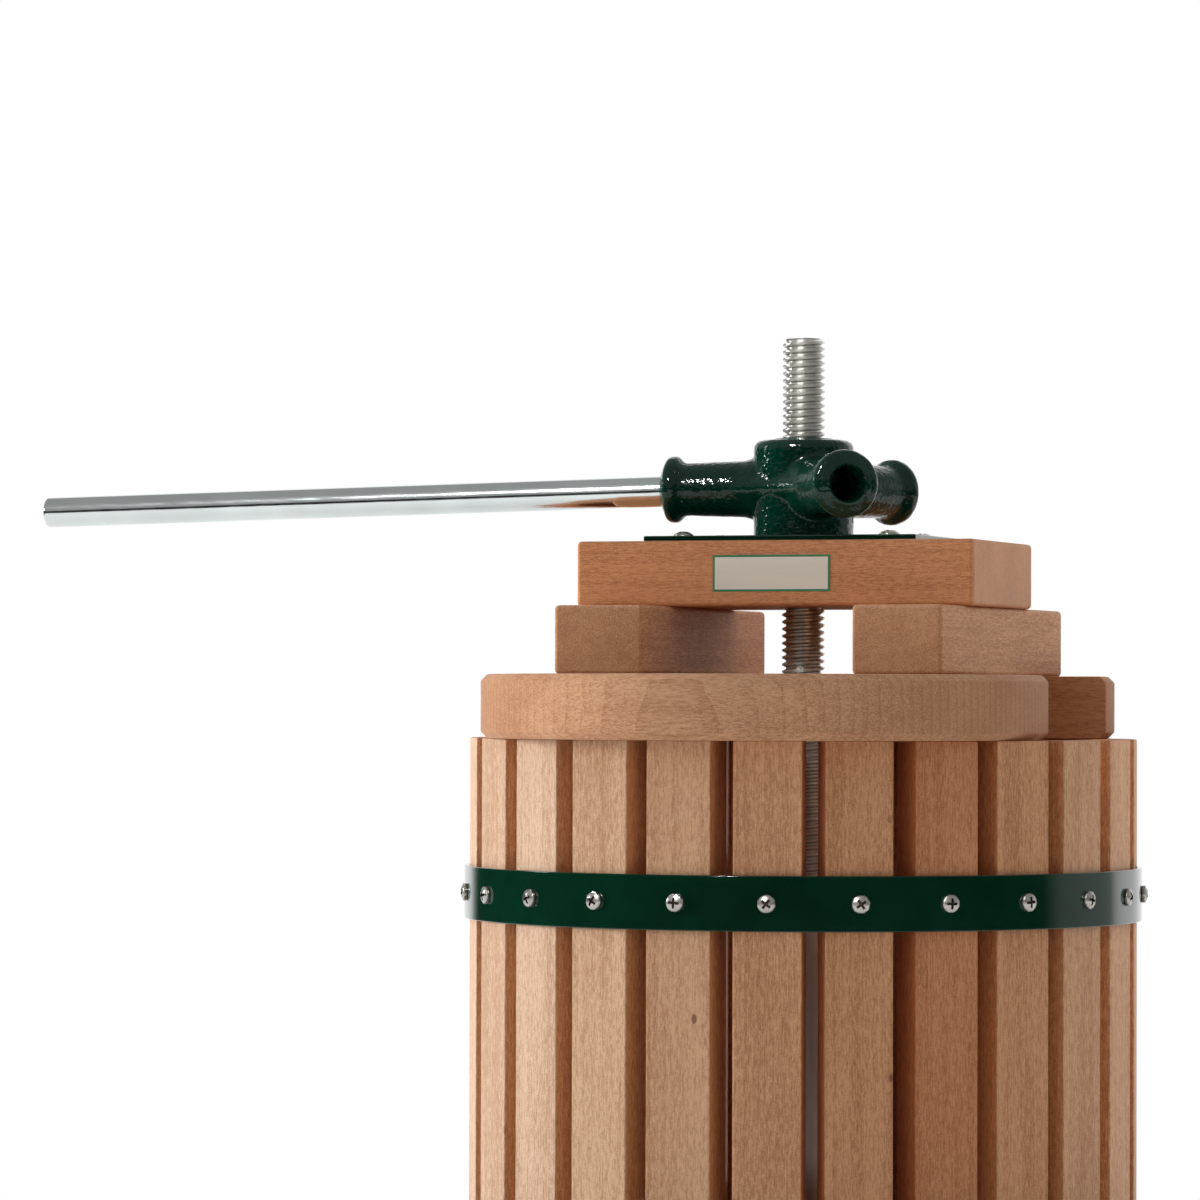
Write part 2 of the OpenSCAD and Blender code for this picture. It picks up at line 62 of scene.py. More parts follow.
SLAT_T = 0.018
BASKET_R = 0.140
FIRST_SLAT = radians(11.7)
SLAT_STEP = 2 * pi / SLAT_COUNT
HOOP_T = 0.002
HOOP_WAVE = 0.00012
HOOP_SIDES = 12 * SLAT_COUNT
DISC_SIDES = 224
NOTCH_R = 0.012
BLOCK_W = 0.0384
BLOCK_L = 0.176
BLOCK_TURN = radians(1.2)
BOARD_HOLE_R = 0.0115
HUB_HOLE_R = 0.0215
SOCKET_R = 0.0073
SOCKET_FLOOR = 0.022
SOCKET_MOUTH = 0.061
SOCKET_EASE = 0.0010
SOCKET_ANGLES = [radians(a) for a in (185, 305, 65)]
SOCKET_OVER_PLATE = 0.0206
SPINDLE_R = 0.009
SPINDLE_CHAMFER = 0.0014
THREAD_PITCH = 0.003
THREAD_DEPTH = 0.0016
THREAD_END_UNDER_RIM = 0.060
THREAD_OVERLAP = 0.002
COLLAR_R = 0.021
COLLAR_H = 0.012
BAR_R = 0.0065
HOOP_SCREW = {"r": 0.0036, "h": 0.0025, "flank": 0.0013, "recess": 0.0022}
PLATE_SCREW = {"r": 0.0043, "h": 0.0022, "flank": 0.0005, "recess": 0.0026}
PLATE_SCREW_X = 0.0452
PLATE_SCREW_Y = 0.0246
SCREW_SINK = 0.0002
LABEL_BORDER = 0.0009

# One turn of the thread: how far up the pitch, how deep in its hollow, and how dark the painted shade is
# there, darkest on the root and the flank that faces down
THREAD_FORM = ((0.0, 1, 0.15), (0.12, 1, 1.0), (0.38, 0, 0.15), (0.62, 0, 0.0), (0.88, 1, 0.0))
THREAD_STEPS = 48
THREAD_SPARE_TURNS = 2

# How far edges are rounded, in metres
SLAT_EDGE = 0.0006
DISC_RIM_EDGE = 0.0027
DISC_CUT_EDGE = 0.0006
BOARD_EDGE = 0.0018
HOOP_EDGE = 0.0004
PLATE_EDGE = 0.0005
BAR_EDGE = 0.0012
SPINDLE_EDGE = 0.0012
SCREW_EDGE = 0.00025
PAINTED_EDGES = {
    "tray": 0.0003, "spout": 0.0004, "base_plate": 0.0008,
    "leg_left": 0.0008, "leg_right": 0.0008, "leg_rear": 0.0008,
}
PLAIN_EDGES = {"leg_bolts": 0.0003, "leg_nuts": 0.0005, "spindle_washer": 0.0005, "spindle_nut": 0.0008}
SEAL_EDGES = {"spindle_seal": 0.0003}

# Which edges are rounded, shaded smooth or dissolved as flat, by the angle between their faces
EDGE_LIMIT = radians(35)
SQUARE_LIMIT = radians(50)
DISC_RIM_LIMIT = radians(60)
DISC_CUT_LIMIT = radians(32)
SMOOTH_LIMIT = radians(32)
THREAD_SMOOTH_LIMIT = radians(40)
CAST_SMOOTH_LIMIT = radians(50)
FLAT_LIMIT = radians(0.5)

# How near points are that are merged, and that count as lying on a cut, in metres
MERGE = 0.00001
ON_CUT = 0.000001

# Casting: how it is made soft and lumpy, and how far its plugs and bores reach over their holes
CAST_VOXEL = 0.0007
CAST_SMOOTH_PASSES = 8
LUMP_SIZE = 0.004
LUMP_HEIGHT = 0.0002
LUMP_DETAIL = 2
SPINDLE_PLUG_GROW = 0.002
SOCKET_PLUG_GROW = 0.0015
SOCKET_PLUG_DEEPER = 0.002
BORE_SLACK = 0.0001
BORE_PAST_HUB = 0.01
BORE_PAST_SOCKET = 0.02

# Screw heads: cutters as shares of the recess and the height
STEM_H_SHARE = 1.2
SLOT_W_SHARE = 0.48
SLOT_H_SHARE = 1.1
CONE_R_SHARE = 0.86

# A recess's faces: how far out they reach, and how far under the dome and over the seat they are, in metres
RECESS_REACH = 1.05
UNDER_DOME = 0.00008
OVER_SEAT = 0.0001

TRAY_FLOOR, RIM = (corner.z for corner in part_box("slat_01"))
PLATE_LOW, PLATE_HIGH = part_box("pressure_plate")
SPINDLE_LOW, SPINDLE_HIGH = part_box("spindle")
SOCKET_Z = PLATE_HIGH.z + SOCKET_OVER_PLATE


# Selecting, editing and finishing pieces

def only(obj):
    """Selects one piece and nothing else."""
    bpy.ops.object.select_all(action="DESELECT")
    obj.select_set(True)
    bpy.context.view_layer.objects.active = obj
    return obj


@contextmanager
def editing(obj, everything=True):
    """Edits a piece's mesh, with all of it selected or else what was selected before."""
    only(obj)
    bpy.ops.object.mode_set(mode="EDIT")
    if everything:
        bpy.ops.mesh.select_all(action="SELECT")
    yield
    bpy.ops.object.mode_set(mode="OBJECT")


def added():
    """The piece that the last primitive made, with its place in its mesh."""
    obj = only(bpy.context.object)
    bpy.ops.object.transform_apply(location=True, rotation=True, scale=True)
    return obj


def modify(obj, kind, **values):
    """Adds a modifier and applies it."""
    only(obj)
    modifier = obj.modifiers.new(kind.lower(), kind)
    for key, value in values.items():
        setattr(modifier, key, value)
    bpy.ops.object.modifier_apply(modifier=modifier.name)
    return obj


def rounded(obj, width, segments=3, angle=EDGE_LIMIT):
    """Rounds every edge that is sharper than an angle."""
    return modify(obj, "BEVEL", width=width, segments=segments, limit_method="ANGLE", angle_limit=angle)


def common(obj, other):
    """Keeps what two pieces share."""
    modify(obj, "BOOLEAN", operation="INTERSECT", solver="EXACT", object=other)
    bpy.data.objects.remove(other)
    return obj


def cut(obj, *cutters):
    """Takes the cutters out of a piece and removes them."""
    for cutter in cutters:
        modify(obj, "BOOLEAN", operation="DIFFERENCE", solver="EXACT", object=cutter)
        bpy.data.objects.remove(cutter)
    return obj


def joined(pieces):
    """Several meshes as one piece."""
    only(pieces[0])
    for piece in pieces:
        piece.select_set(True)
    bpy.ops.object.join()
    return pieces[0]


def copied(obj):
    """A copy with its own mesh."""
    copy = obj.copy()
    copy.data = obj.data.copy()
    bpy.context.scene.collection.objects.link(copy)
    return copy


def marked(obj, name, value):
    """Stores what a function says of each face on the face's corners, for a material to read."""
    attribute = obj.data.attributes.new(name, "FLOAT", "CORNER")
    for face in obj.data.polygons:
        for loop in face.loop_indices:
            attribute.data[loop].value = value(face)


def finished(obj, name, body, materials, node, smooth=SMOOTH_LIMIT, flats=True):
    """Names and shades a piece, gives it its materials and sets it on its body in place of its node."""
    only(obj)
    bpy.ops.object.shade_smooth_by_angle(angle=smooth)
    if flats:
        modify(obj, "WEIGHTED_NORMAL", keep_sharp=True)
    obj.name = name
    obj.data.name = name
    kinds = [min(face.material_index, len(materials) - 1) for face in obj.data.polygons]
    obj.data.materials.clear()
    for material in materials:
        obj.data.materials.append(material)
    obj.data.polygons.foreach_set("material_index", kinds)
    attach(obj, body)
    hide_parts(node)


# Plain shapes

def outward(angle):
    """The level direction at an angle about the spindle's axis."""
    return Vector((cos(angle), sin(angle), 0))


def facing(direction):
    """The turn that makes a piece's z look along a direction."""
    return Vector(direction).to_track_quat("Z", "Y").to_matrix().to_4x4()


def cuboid(low, high):
    """A box between two corners."""
    bpy.ops.mesh.primitive_cube_add(size=1, location=(low + high) / 2, scale=high - low)
    return added()


def cylinder(r, low, high, sides=96):
    """An upright cylinder on the spindle's axis, between two heights."""
    middle = (0, 0, (low + high) / 2)
    bpy.ops.mesh.primitive_cylinder_add(vertices=sides, radius=r, depth=high - low, location=middle)
    return added()


def through(r, low, high, sides=96):
    """An upright cutter on the spindle's axis that stands out by its radius above and below a box."""
    return cylinder(r, low.z - r, high.z + r, sides)


def from_node(node, width=0.0):
    """A copy of a CAD node with its seams merged, its flats whole and its edges rounded."""
    obj = copied(frame["nodes"][node])
    obj.hide_render = obj.hide_viewport = False
    obj.parent = None
    for key in list(obj.keys()):
        del obj[key]
    with editing(obj):
        bpy.ops.mesh.remove_doubles(threshold=MERGE)
        bpy.ops.mesh.dissolve_limited(angle_limit=FLAT_LIMIT)
    if width:
        rounded(obj, width, segments=2)
    return obj


# Steps of materials

WHITE = (1, 1, 1, 1)
NOISE_LOW = 0.3
NOISE_HIGH = 0.7


def opaque(colour, share=1.0):
    """A colour times a share, as the four numbers that a socket takes."""
    return (*[c * share for c in colour], 1)


def linked(tree, kind, inputs=None, **settings):
    """A node with its settings, and with each input linked or set."""
    made = tree.nodes.new(kind)
    for key, value in settings.items():
        setattr(made, key, value)
    for key, value in (inputs or {}).items():
        if isinstance(value, bpy.types.NodeSocket):
            tree.links.new(value, made.inputs[key])
        else:
            made.inputs[key].default_value = value
    return made


def principled(name, **values):
    """A material, its nodes and its shader, with the shader's own sockets set."""
    material = bpy.data.materials.new(name)
    material.use_nodes = True
    shader = material.node_tree.nodes["Principled BSDF"]
    for key, value in values.items():
        shader.inputs[key.replace("_", " ").title().replace("Ior", "IOR")].default_value = value
    return material, material.node_tree, shader


def own_place(tree):
    """The place on a piece, in the piece's own metres."""
    return linked(tree, "ShaderNodeTexCoord").outputs["Object"]


def stored(tree, name):
    """What is stored on the mesh under a name, or 0."""
    return linked(tree, "ShaderNodeAttribute", attribute_name=name).outputs["Fac"]


def maths(tree, operation, a, b=0.0, clamp=False):
    """One step of arithmetic."""
    return linked(tree, "ShaderNodeMath", {0: a, 1: b}, operation=operation, use_clamp=clamp).outputs[0]


def spread(tree, value, low, high):
    """Maps a value between low and high to 0 and 1."""
    inputs = {"Value": value, "From Min": low, "From Max": high}
    return linked(tree, "ShaderNodeMapRange", inputs, interpolation_type="SMOOTHSTEP").outputs[0]


def between(tree, share, low, high):
    """Maps a share from 0 to 1 to a level between low and high."""
    return linked(tree, "ShaderNodeMapRange", {"Value": share, "To Min": low, "To Max": high}).outputs[0]


def mixed(tree, amount, a, b, blend="MIX"):
    """Mixes two colours. The mixing node has its two colours as sockets 6 and 7 and gives socket 2."""
    inputs = {0: amount, 6: a, 7: b}
    return linked(tree, "ShaderNodeMix", inputs, data_type="RGBA", blend_type=blend).outputs[2]


def noise(tree, place, scale, detail=2.0, roughness=0.5, stretch=(1, 1, 1)):
    """A noise field, stretched along an axis."""
    spot = linked(tree, "ShaderNodeMapping", {"Vector": place, "Scale": stretch}).outputs[0]
    inputs = {"Vector": spot, "Scale": scale, "Detail": detail, "Roughness": roughness}
    return linked(tree, "ShaderNodeTexNoise", inputs).outputs["Fac"]


def patches(tree, place, low=NOISE_LOW, high=NOISE_HIGH, **settings):
    """A noise field whose middle values are spread over 0 to 1."""
    return spread(tree, noise(tree, place, **settings), low, high)


def bumped(tree, shader, height, distance, strength=1.0, socket="Normal"):
    """Gives the shader a bump."""
    made = linked(tree, "ShaderNodeBump", {"Height": height, "Distance": distance, "Strength": strength})
    tree.links.new(made.outputs[0], shader.inputs[socket])


# Beech. The grain is a sum of fields, where an offset and each field's share say how dark it makes the wood.

BEECH_LIGHT = (0.640, 0.356, 0.201)
BEECH_DARK = (0.413, 0.191, 0.093)
BEECH_PORE = (0.230, 0.095, 0.045, 1)
BEECH_END = (0.330, 0.160, 0.082, 1)
BEECH_PALE_END = (0.620, 0.390, 0.260, 1)
# Painted shade, darker and warmer, multiplied over the sides and the inner face of each slat
BEECH_SIDE_SHADE = (1.0, 0.78, 0.58, 1)
BEECH_KNOT = (0.150, 0.068, 0.036, 1)
GRAIN_ORDER = {"x": ("Y", "Z", "X"), "y": ("X", "Z", "Y"), "z": ("X", "Y", "Z")}
GRAIN = {
    "fibre": {"scale": 1700, "roughness": 0.6, "stretch": (1, 1, 0.018), "low": 0.32, "high": 0.68},
    "streak": {"scale": 260, "roughness": 0.6, "stretch": (1, 1, 0.03)},
    "cloud": {"scale": 38, "detail": 3, "roughness": 0.55, "stretch": (1, 1, 0.12)},
    "fleck": {"scale": 1500, "roughness": 0.6, "stretch": (1, 1, 0.16)},
    "speckle": {"scale": 1700, "detail": 1},
}
GRAIN_SHARE = {"fibre": 0.26, "streak": 0.26, "cloud": 0.44, "fleck": 0.75, "speckle": 0.40}
GRAIN_OFFSET = -0.63
DASHES = {"stretch": 0.2, "scale": 1400, "near": 0.10, "far": 0.34, "rare": 0.15}
KNOTS = {"stretch": 0.6, "scale": 70, "near": 0.060, "far": 0.105, "rare": 0.66}
RARE_FADE = 0.3
RINGS = {"Scale": 95.0, "Distortion": 3.0, "Detail": 2.0, "Detail Scale": 0.35}
RING_STRETCH = 0.05
RING_POWER = 7.0
RING_SLOPE = 0.4
DASH_SHARE = 0.35
FIBRE_RELIEF = 0.5


def grain_place(tree, grain, shift):
    """The place in a piece of wood, with the fibres along z and the pattern moved by a shift."""
    apart = linked(tree, "ShaderNodeSeparateXYZ", {0: own_place(tree)}).outputs
    turned = {i: apart[axis] for i, axis in enumerate(GRAIN_ORDER[grain])}
    place = linked(tree, "ShaderNodeCombineXYZ", turned).outputs[0]
    return linked(tree, "ShaderNodeMapping", {"Vector": place, "Location": shift}).outputs[0]


def along_fibres(tree, place, stretch, turn=0.0):
    """A place whose pattern is drawn out along the fibres and turned about them."""
    inputs = {"Vector": place, "Scale": (1, 1, stretch), "Rotation": (0, 0, turn)}
    return linked(tree, "ShaderNodeMapping", inputs).outputs[0]


def spots(tree, place, stretch, scale, near, far, rare):
    """Scattered spots, fading out between the near and the far distance from their middles."""
    inputs = {"Vector": along_fibres(tree, place, stretch), "Scale": scale}
    cells = linked(tree, "ShaderNodeTexVoronoi", inputs, feature="F1").outputs
    spot = maths(tree, "SUBTRACT", 1.0, spread(tree, cells["Distance"], near, far))
    chosen = linked(tree, "ShaderNodeSeparateColor", {0: cells["Color"]}).outputs[0]
    return maths(tree, "MULTIPLY", spot, spread(tree, chosen, rare, rare + RARE_FADE))


def ring_lines(tree, place, turn, share):
    """The year rings, each one darkening slowly and ending in a line."""
    inputs = {"Vector": along_fibres(tree, place, RING_STRETCH, turn), **RINGS}
    rings = linked(tree, "ShaderNodeTexWave", inputs, bands_direction="X", wave_profile="SAW").outputs["Fac"]
    line = maths(tree, "POWER", rings, RING_POWER)
    slope = maths(tree, "MULTIPLY", rings, RING_SLOPE)
    return maths(tree, "MULTIPLY", maths(tree, "ADD", line, slope), share)


def beech(
    name, grain, tint, shift, ring_share, ring_turn=0.0, end_share=0.15, end_tone=BEECH_END, knot_share=0.0
):
    """Planed beech with its fibres along x, y or z, and its rings turned about them."""
    material, tree, shader = principled(name, roughness=0.55, specular_ior_level=0.12)
    place = grain_place(tree, grain, shift)
    fields = {key: patches(tree, place, **settings) for key, settings in GRAIN.items()}
    rings = ring_lines(tree, place, ring_turn, ring_share)
    dash = spots(tree, place, **DASHES)
    knot = spots(tree, place, **KNOTS)
    end = stored(tree, "end_grain")

    amount = GRAIN_OFFSET
    for key, share in GRAIN_SHARE.items():
        amount = maths(tree, "ADD", amount, maths(tree, "MULTIPLY", fields[key], share))
    amount = maths(tree, "ADD", amount, rings, True)
    light, dark = ([a * b for a, b in zip(tone, tint)] for tone in (BEECH_LIGHT, BEECH_DARK))
    colour = mixed(tree, amount, opaque(light), opaque(dark))
    colour = mixed(tree, maths(tree, "MULTIPLY", dash, DASH_SHARE), colour, BEECH_PORE)
    end_amount = maths(tree, "MULTIPLY", end, maths(tree, "ADD", rings, end_share), True)
    colour = mixed(tree, end_amount, colour, end_tone)
    knot_amount = maths(tree, "SUBTRACT", knot_share, maths(tree, "MULTIPLY", end, knot_share))
    colour = mixed(tree, maths(tree, "MULTIPLY", knot, knot_amount), colour, BEECH_KNOT)
    # Painted shade on a slat's sides and inner face, multiplied in
    colour = mixed(tree, stored(tree, "painted_side_shade"), colour, BEECH_SIDE_SHADE, "MULTIPLY")
    tree.links.new(colour, shader.inputs["Base Color"])
    height = maths(tree, "SUBTRACT", maths(tree, "MULTIPLY", fields["fibre"], FIBRE_RELIEF), dash)
    bumped(tree, shader, height, distance=0.0001, strength=0.7)
    return material


# Paint, steel, rubber and film

ENAMEL_PATCH = 0.72
STEEL_PATCH = 0.88
# How dark the painted shade on a thread's root and downward flank makes the steel
GROOVE_SHADE_TONE = 0.22
POLISH_SPAN = 0.16
FILM_PATCH = 0.88
RUBBER_DARK = (0.02, 0.02, 0.02, 1)
RUBBER_LIGHT = (0.05, 0.05, 0.05, 1)


def enamel(name, colour, rough, peel, lumps=0.0, gloss=0.6):
    """Gloss paint, with the fine ripple of its coat and the lumps of what it covers."""
    material, tree, shader = principled(
        name, roughness=rough, specular_ior_level=gloss / 2, coat_weight=gloss, coat_roughness=0.05
    )
    place = own_place(tree)
    cloud = patches(tree, place, scale=60, detail=3, roughness=0.6)
    tint = mixed(tree, cloud, opaque(colour), opaque(colour, ENAMEL_PATCH))
    tree.links.new(tint, shader.inputs["Base Color"])
    ripple = maths(tree, "MULTIPLY", noise(tree, place, scale=700), peel)
    lump = maths(tree, "MULTIPLY", noise(tree, place, scale=520, detail=1), lumps)
    height = maths(tree, "ADD", ripple, lump)
    for socket in ("Normal", "Coat Normal"):
        bumped(tree, shader, height, distance=0.001, socket=socket)
    return material


def steel(name, colour, rough, streak=(1, 1, 1), streak_scale=900, depth=0.00002):
    """Bright steel with fine marks along one axis, and with painted shade on a thread's root and downward
    flank.
    """
    material, tree, shader = principled(name, metallic=1.0, roughness=rough)
    place = own_place(tree)
    marks = noise(tree, place, streak_scale, detail=3, roughness=0.6, stretch=streak)
    tint = mixed(tree, patches(tree, place, scale=30), opaque(colour), opaque(colour, STEEL_PATCH))
    tint = mixed(tree, stored(tree, "painted_groove_shade"), tint, opaque(colour, GROOVE_SHADE_TONE))
    tree.links.new(tint, shader.inputs["Base Color"])
    polish = maths(tree, "ADD", maths(tree, "MULTIPLY", marks, POLISH_SPAN), rough - POLISH_SPAN / 2)
    tree.links.new(polish, shader.inputs["Roughness"])
    bumped(tree, shader, marks, depth)
    return material


def rubber(name):
    """Dull black rubber."""
    material, tree, shader = principled(name, roughness=0.75)
    grain = noise(tree, own_place(tree), scale=900)
    tree.links.new(mixed(tree, grain, RUBBER_DARK, RUBBER_LIGHT), shader.inputs["Base Color"])
    bumped(tree, shader, grain, distance=0.0001)
    return material


def film(name, colour):
    """Printed film with a faint fibre of the wood under it."""
    material, tree, shader = principled(name, roughness=0.4, specular_ior_level=0.5)
    cloud = noise(tree, own_place(tree), scale=250, stretch=(0.15, 1, 1))
    tint = mixed(tree, cloud, opaque(colour), opaque(colour, FILM_PATCH))
    tree.links.new(tint, shader.inputs["Base Color"])
    bumped(tree, shader, cloud, distance=0.00005)
    return material


# The materials. Each slat is in one of eight tones of beech, which the order names slat by slat. The tones
# vary as beech does, and they also paint the light: the pale, greyer tints on the brightly lit slats at the
# left and far right are painted glare, and the darker, redder tint is painted shade.

SLAT_TINTS_WITH_PAINTED_LIGHT = (
    (1.00, 1.06, 1.12), (0.89, 0.72, 0.62), (1.10, 1.08, 1.06), (0.98, 0.90, 0.83),
    (0.96, 0.90, 0.85), (1.02, 1.28, 1.60), (1.02, 1.19, 1.33), (1.20, 1.30, 1.42),
)
SLAT_ORDER = (7, 2, 4, 1, 3, 0, 4, 2, 0, 3, 1, 4, 2, 5, 5, 5, 6, 0, 2, 3, 1, 4, 0, 7)
SLAT_SHIFT = (0.37, 0.11, 0.23)
SLAT_RING_TURN = 0.9

slat_beech_with_painted_light = [
    beech(
        f"slat_beech_with_painted_light_{i + 1}", "z", tint, shift=[i * step for step in SLAT_SHIFT],
        ring_turn=SLAT_RING_TURN * i, ring_share=0.12, knot_share=0.8,
    )
    for i, tint in enumerate(SLAT_TINTS_WITH_PAINTED_LIGHT)
]
disc_beech = beech(
    "disc_beech", "x", tint=(0.98, 0.98, 0.99), shift=(0.05, 0.3, 0.1), ring_share=0.30, end_share=0.60
)
# The rear half's beech is darker and redder than the front half's: painted shade, fitted to its cut face,
# which lies in shadow
rear_disc_beech_painted_shade = beech(
    "rear_disc_beech_painted_shade", "x", tint=(0.88, 0.70, 0.55), shift=(0.6, 0.2, 0.5), ring_share=0.30, end_share=0.45
)
block_beech = beech(
    "block_beech", "y", tint=(1.06, 1.04, 1.00), shift=(0.4, 0.1, 0.7), ring_turn=radians(70), ring_share=0.05
)
board_beech = beech(
    "board_beech", "x", tint=(1.06, 0.86, 0.68), shift=(0.9, 0.2, 0.4), ring_turn=radians(60),
    ring_share=0.06, end_share=0.35, end_tone=BEECH_PALE_END,
)
sheet_enamel = enamel("green_sheet", (0.0006, 0.027, 0.0125), rough=0.12, peel=0.012)
cast_enamel = enamel("green_casting", (0.0010, 0.030, 0.018), rough=0.10, peel=0.03, lumps=0.30, gloss=0.38)
bar_steel = steel("polished_steel", (0.79, 0.85, 0.84), rough=0.13, streak=(0.04, 1, 1))
thread_steel = steel("turned_steel", (0.95, 0.94, 0.88), rough=0.32, streak=(1, 1, 8), depth=0.000004)
screw_steel = steel("screw_steel", (0.56, 0.53, 0.49), rough=0.30, streak_scale=600)
# Dark brown painted shade for the inside of each screw's cross recess
recess_painted_shade = steel("recess_painted_shade", (0.085, 0.062, 0.045), rough=0.50, streak_scale=600)
seal_rubber = rubber("seal_rubber")
label_cream = film("label_cream", (0.80, 0.74, 0.64))
label_green = film("label_green", (0.012, 0.220, 0.080))


# Wooden pieces, with how fast end grain fades as a face turns away, and what still counts as the outer face

END_FADE = 1.6
OUTER_FACE = 0.5


def marked_end_grain(obj, grain):
    """Stores how far each face looks along the fibres."""
    axis = "xyz".index(grain)
    marked(obj, "end_grain", lambda face: min(1.0, max(0.0, 1 - END_FADE * (1 - abs(face.normal[axis])))))
    return obj


def marked_shaded_sides(obj, turn):
    """Stores which faces of a slat get a darker, warmer painted shade: all but the outer one."""
    out = outward(turn)
    marked(obj, "painted_side_shade", lambda face: 0.0 if face.normal.dot(out) > OUTER_FACE else 1.0)


def wooden_bar(low, high, edge, turn=0.0):
    """A bar of wood between two corners, with its edges rounded, turned about the spindle's axis."""
    obj = rounded(cuboid(low, high), edge)
    obj.data.transform(Matrix.Rotation(turn, 4, "Z"))
    return obj


def slat(i):
    """One slat of the basket, from the tray's floor to the rim."""
    low = Vector((BASKET_R - SLAT_T, -SLAT_W / 2, TRAY_FLOOR))
    high = Vector((BASKET_R, SLAT_W / 2, RIM))
    turn = FIRST_SLAT + i * SLAT_STEP
    obj = marked_end_grain(wooden_bar(low, high, SLAT_EDGE, turn), "z")
    marked_shaded_sides(obj, turn)
    wood = slat_beech_with_painted_light[SLAT_ORDER[i]]
    finished(obj, f"beech_slat_{i + 1:02d}", "basket", [wood], f"slat_{i + 1:02d}")


def half_disc(node, body, side, wood):
    """A half disc whose straight edge looks along side times +Y."""
    low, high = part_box(node)
    r = (high.x - low.x) / 2
    chord = high.y if side > 0 else low.y
    obj = cylinder(r, low.z, high.z, sides=DISC_SIDES)
    rounded(obj, DISC_RIM_EDGE, segments=1, angle=DISC_RIM_LIMIT)
    with editing(obj):
        bpy.ops.mesh.bisect(plane_co=(0, 0, 0), plane_no=(0, side, 0), use_fill=True, clear_outer=True)
    cut(obj, through(NOTCH_R, low, high, sides=64))
    rounded(obj, DISC_CUT_EDGE, segments=2, angle=DISC_CUT_LIMIT)
    obj.data.transform(Matrix.Translation((0, chord, 0)))
    marked_end_grain(obj, "x")
    finished(obj, node + "_wood", body, [wood], node)


def block(node, body, turn):
    """A block, a little out of line with the board."""
    low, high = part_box(node)
    size = Vector((BLOCK_W, BLOCK_L, high.z - low.z))
    obj = marked_end_grain(wooden_bar(-size / 2, size / 2, BOARD_EDGE), "y")
    obj.data.transform(Matrix.Translation((low + high) / 2) @ Matrix.Rotation(turn, 4, "Z"))
    finished(obj, node + "_wood", body, [block_beech], node)


def board():
    """The pressing board with its hole for the spindle."""
    low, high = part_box("top_board")
    obj = cut(wooden_bar(low, high, BOARD_EDGE), through(BOARD_HOLE_R, low, high, sides=64))
    marked_end_grain(obj, "x")
    finished(obj, "top_board_wood", "pressing_board", [board_beech], "top_board")


# Steel hoops and plate

def hoop(node):
    """A strip round the slats, a little flatter over each slat than between them."""
    low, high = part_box(node)
    r = (high.x - low.x) / 2 - HOOP_T / 2 - HOOP_WAVE
    bpy.ops.mesh.primitive_cylinder_add(
        vertices=HOOP_SIDES, radius=r, depth=high.z - low.z,
        end_fill_type="NOTHING", location=(0, 0, (low.z + high.z) / 2),
    )
    obj = added()
    for vertex in obj.data.vertices:
        angle = vertex.co.xy.angle_signed(Vector((1, 0)))
        wave = 1 - HOOP_WAVE / r * cos(SLAT_COUNT * (angle - FIRST_SLAT))
        vertex.co.x *= wave
        vertex.co.y *= wave
    modify(obj, "SOLIDIFY", thickness=HOOP_T, offset=0)
    rounded(obj, HOOP_EDGE, angle=SQUARE_LIMIT)
    finished(obj, node + "_strip", "basket", [sheet_enamel], node)


def plate():
    """The steel plate on the board, with the hole that the hub stands in."""
    obj = cut(cuboid(PLATE_LOW, PLATE_HIGH), through(HUB_HOLE_R, PLATE_LOW, PLATE_HIGH))
    rounded(obj, PLATE_EDGE, angle=SQUARE_LIMIT)
    finished(obj, "pressure_plate_sheet", "pressing_board", [sheet_enamel], "pressure_plate")


# Screws with a cross recess

def dome_radius(r, h, flank):
    """The radius of the ball that tops a screw head above its straight flank."""
    rise = h - flank
    return (r * r + rise * rise) / (2 * rise)


def pan_head(r, h, flank, recess):
    """A pan head screw with its seat on z = 0, a straight flank, a domed top and a cross recess."""
    ball = dome_radius(r, h, flank)
    bpy.ops.mesh.primitive_uv_sphere_add(segments=48, ring_count=48, radius=ball, location=(0, 0, h - ball))
    dome = added()
    head = rounded(common(cylinder(r, 0, h * STEM_H_SHARE, sides=48), dome), SCREW_EDGE, segments=2)
    slots = []
    for turn in (0, pi / 2):
        bpy.ops.mesh.primitive_cube_add(
            size=1, location=(0, 0, h), rotation=(0, 0, turn),
            scale=(2 * recess, recess * SLOT_W_SHARE, h * SLOT_H_SHARE),
        )
        slots.append(added())
    bpy.ops.mesh.primitive_cone_add(
        vertices=16, radius1=0.0, radius2=recess * CONE_R_SHARE, depth=h * SLOT_H_SHARE, location=(0, 0, h)
    )
    slots.append(added())
    return cut(head, *slots)


def paint_recess_shade(obj, r, h, flank, recess):
    """Gives the faces that lie under the dome inside the recess a dark painted shade."""
    for material in (screw_steel, recess_painted_shade):
        obj.data.materials.append(material)
    ball = dome_radius(r, h, flank)
    for face in obj.data.polygons:
        away = face.center.xy.length
        inside = away < recess * RECESS_REACH and face.center.z > OVER_SEAT
        dome_z = h - ball + (ball * ball - away * away) ** 0.5
        face.material_index = 1 if inside and dome_z - face.center.z > UNDER_DOME else 0


def screw(size):
    """A screw head of one size with painted shade in its recess, to be copied."""
    obj = pan_head(**size)
    paint_recess_shade(obj, **size)
    return obj


def placed(template, where, out, spin):
    """A copy of a screw with its head looking along out."""
    copy = copied(template)
    copy.data.transform(Matrix.Translation(where) @ facing(out) @ Matrix.Rotation(spin, 4, "Z"))
    return copy


